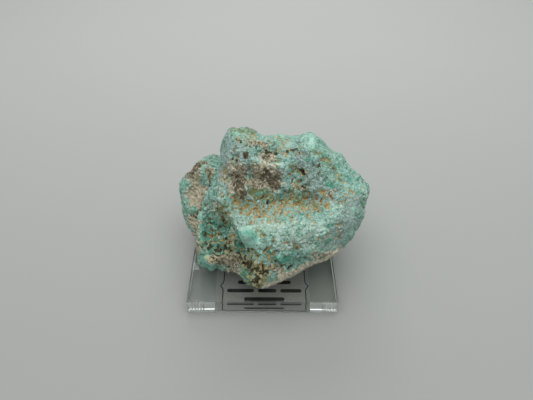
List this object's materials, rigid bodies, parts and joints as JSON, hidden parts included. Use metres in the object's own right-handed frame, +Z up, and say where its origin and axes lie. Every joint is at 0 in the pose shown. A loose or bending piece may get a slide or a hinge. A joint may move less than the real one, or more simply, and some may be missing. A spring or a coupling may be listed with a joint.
{
  "type": "turquoise specimen on a clear display slab",
  "caption": "Rough turquoise nodule with brown matrix, resting on a square clear acrylic display slab with a small plain label fixed under its front half.",
  "frame": {"origin": "middle of the slab's underside, on the surface that the slab stands on", "axes": "+Z up, -Y towards the slab's front edge and the stone's broad face, +X to the right of that face and along the longest extent"},
  "size_m": [0.0684, 0.0572, 0.0493],
  "materials": {
    "turquoise": "rough, dull, lumpy and finely pitted, blue-green with tan, ochre and grey-brown matrix",
    "clear_acrylic": "clear cast acrylic with polished faces and edges, see-through",
    "label_paper": "smooth white paper with a thin black frame and plain black bars"
  },
  "bodies": {
    "root": {"turquoise_stone": "turquoise", "acrylic_slab": "clear_acrylic", "paper_label": "label_paper"}
  },
  "joints": []
}
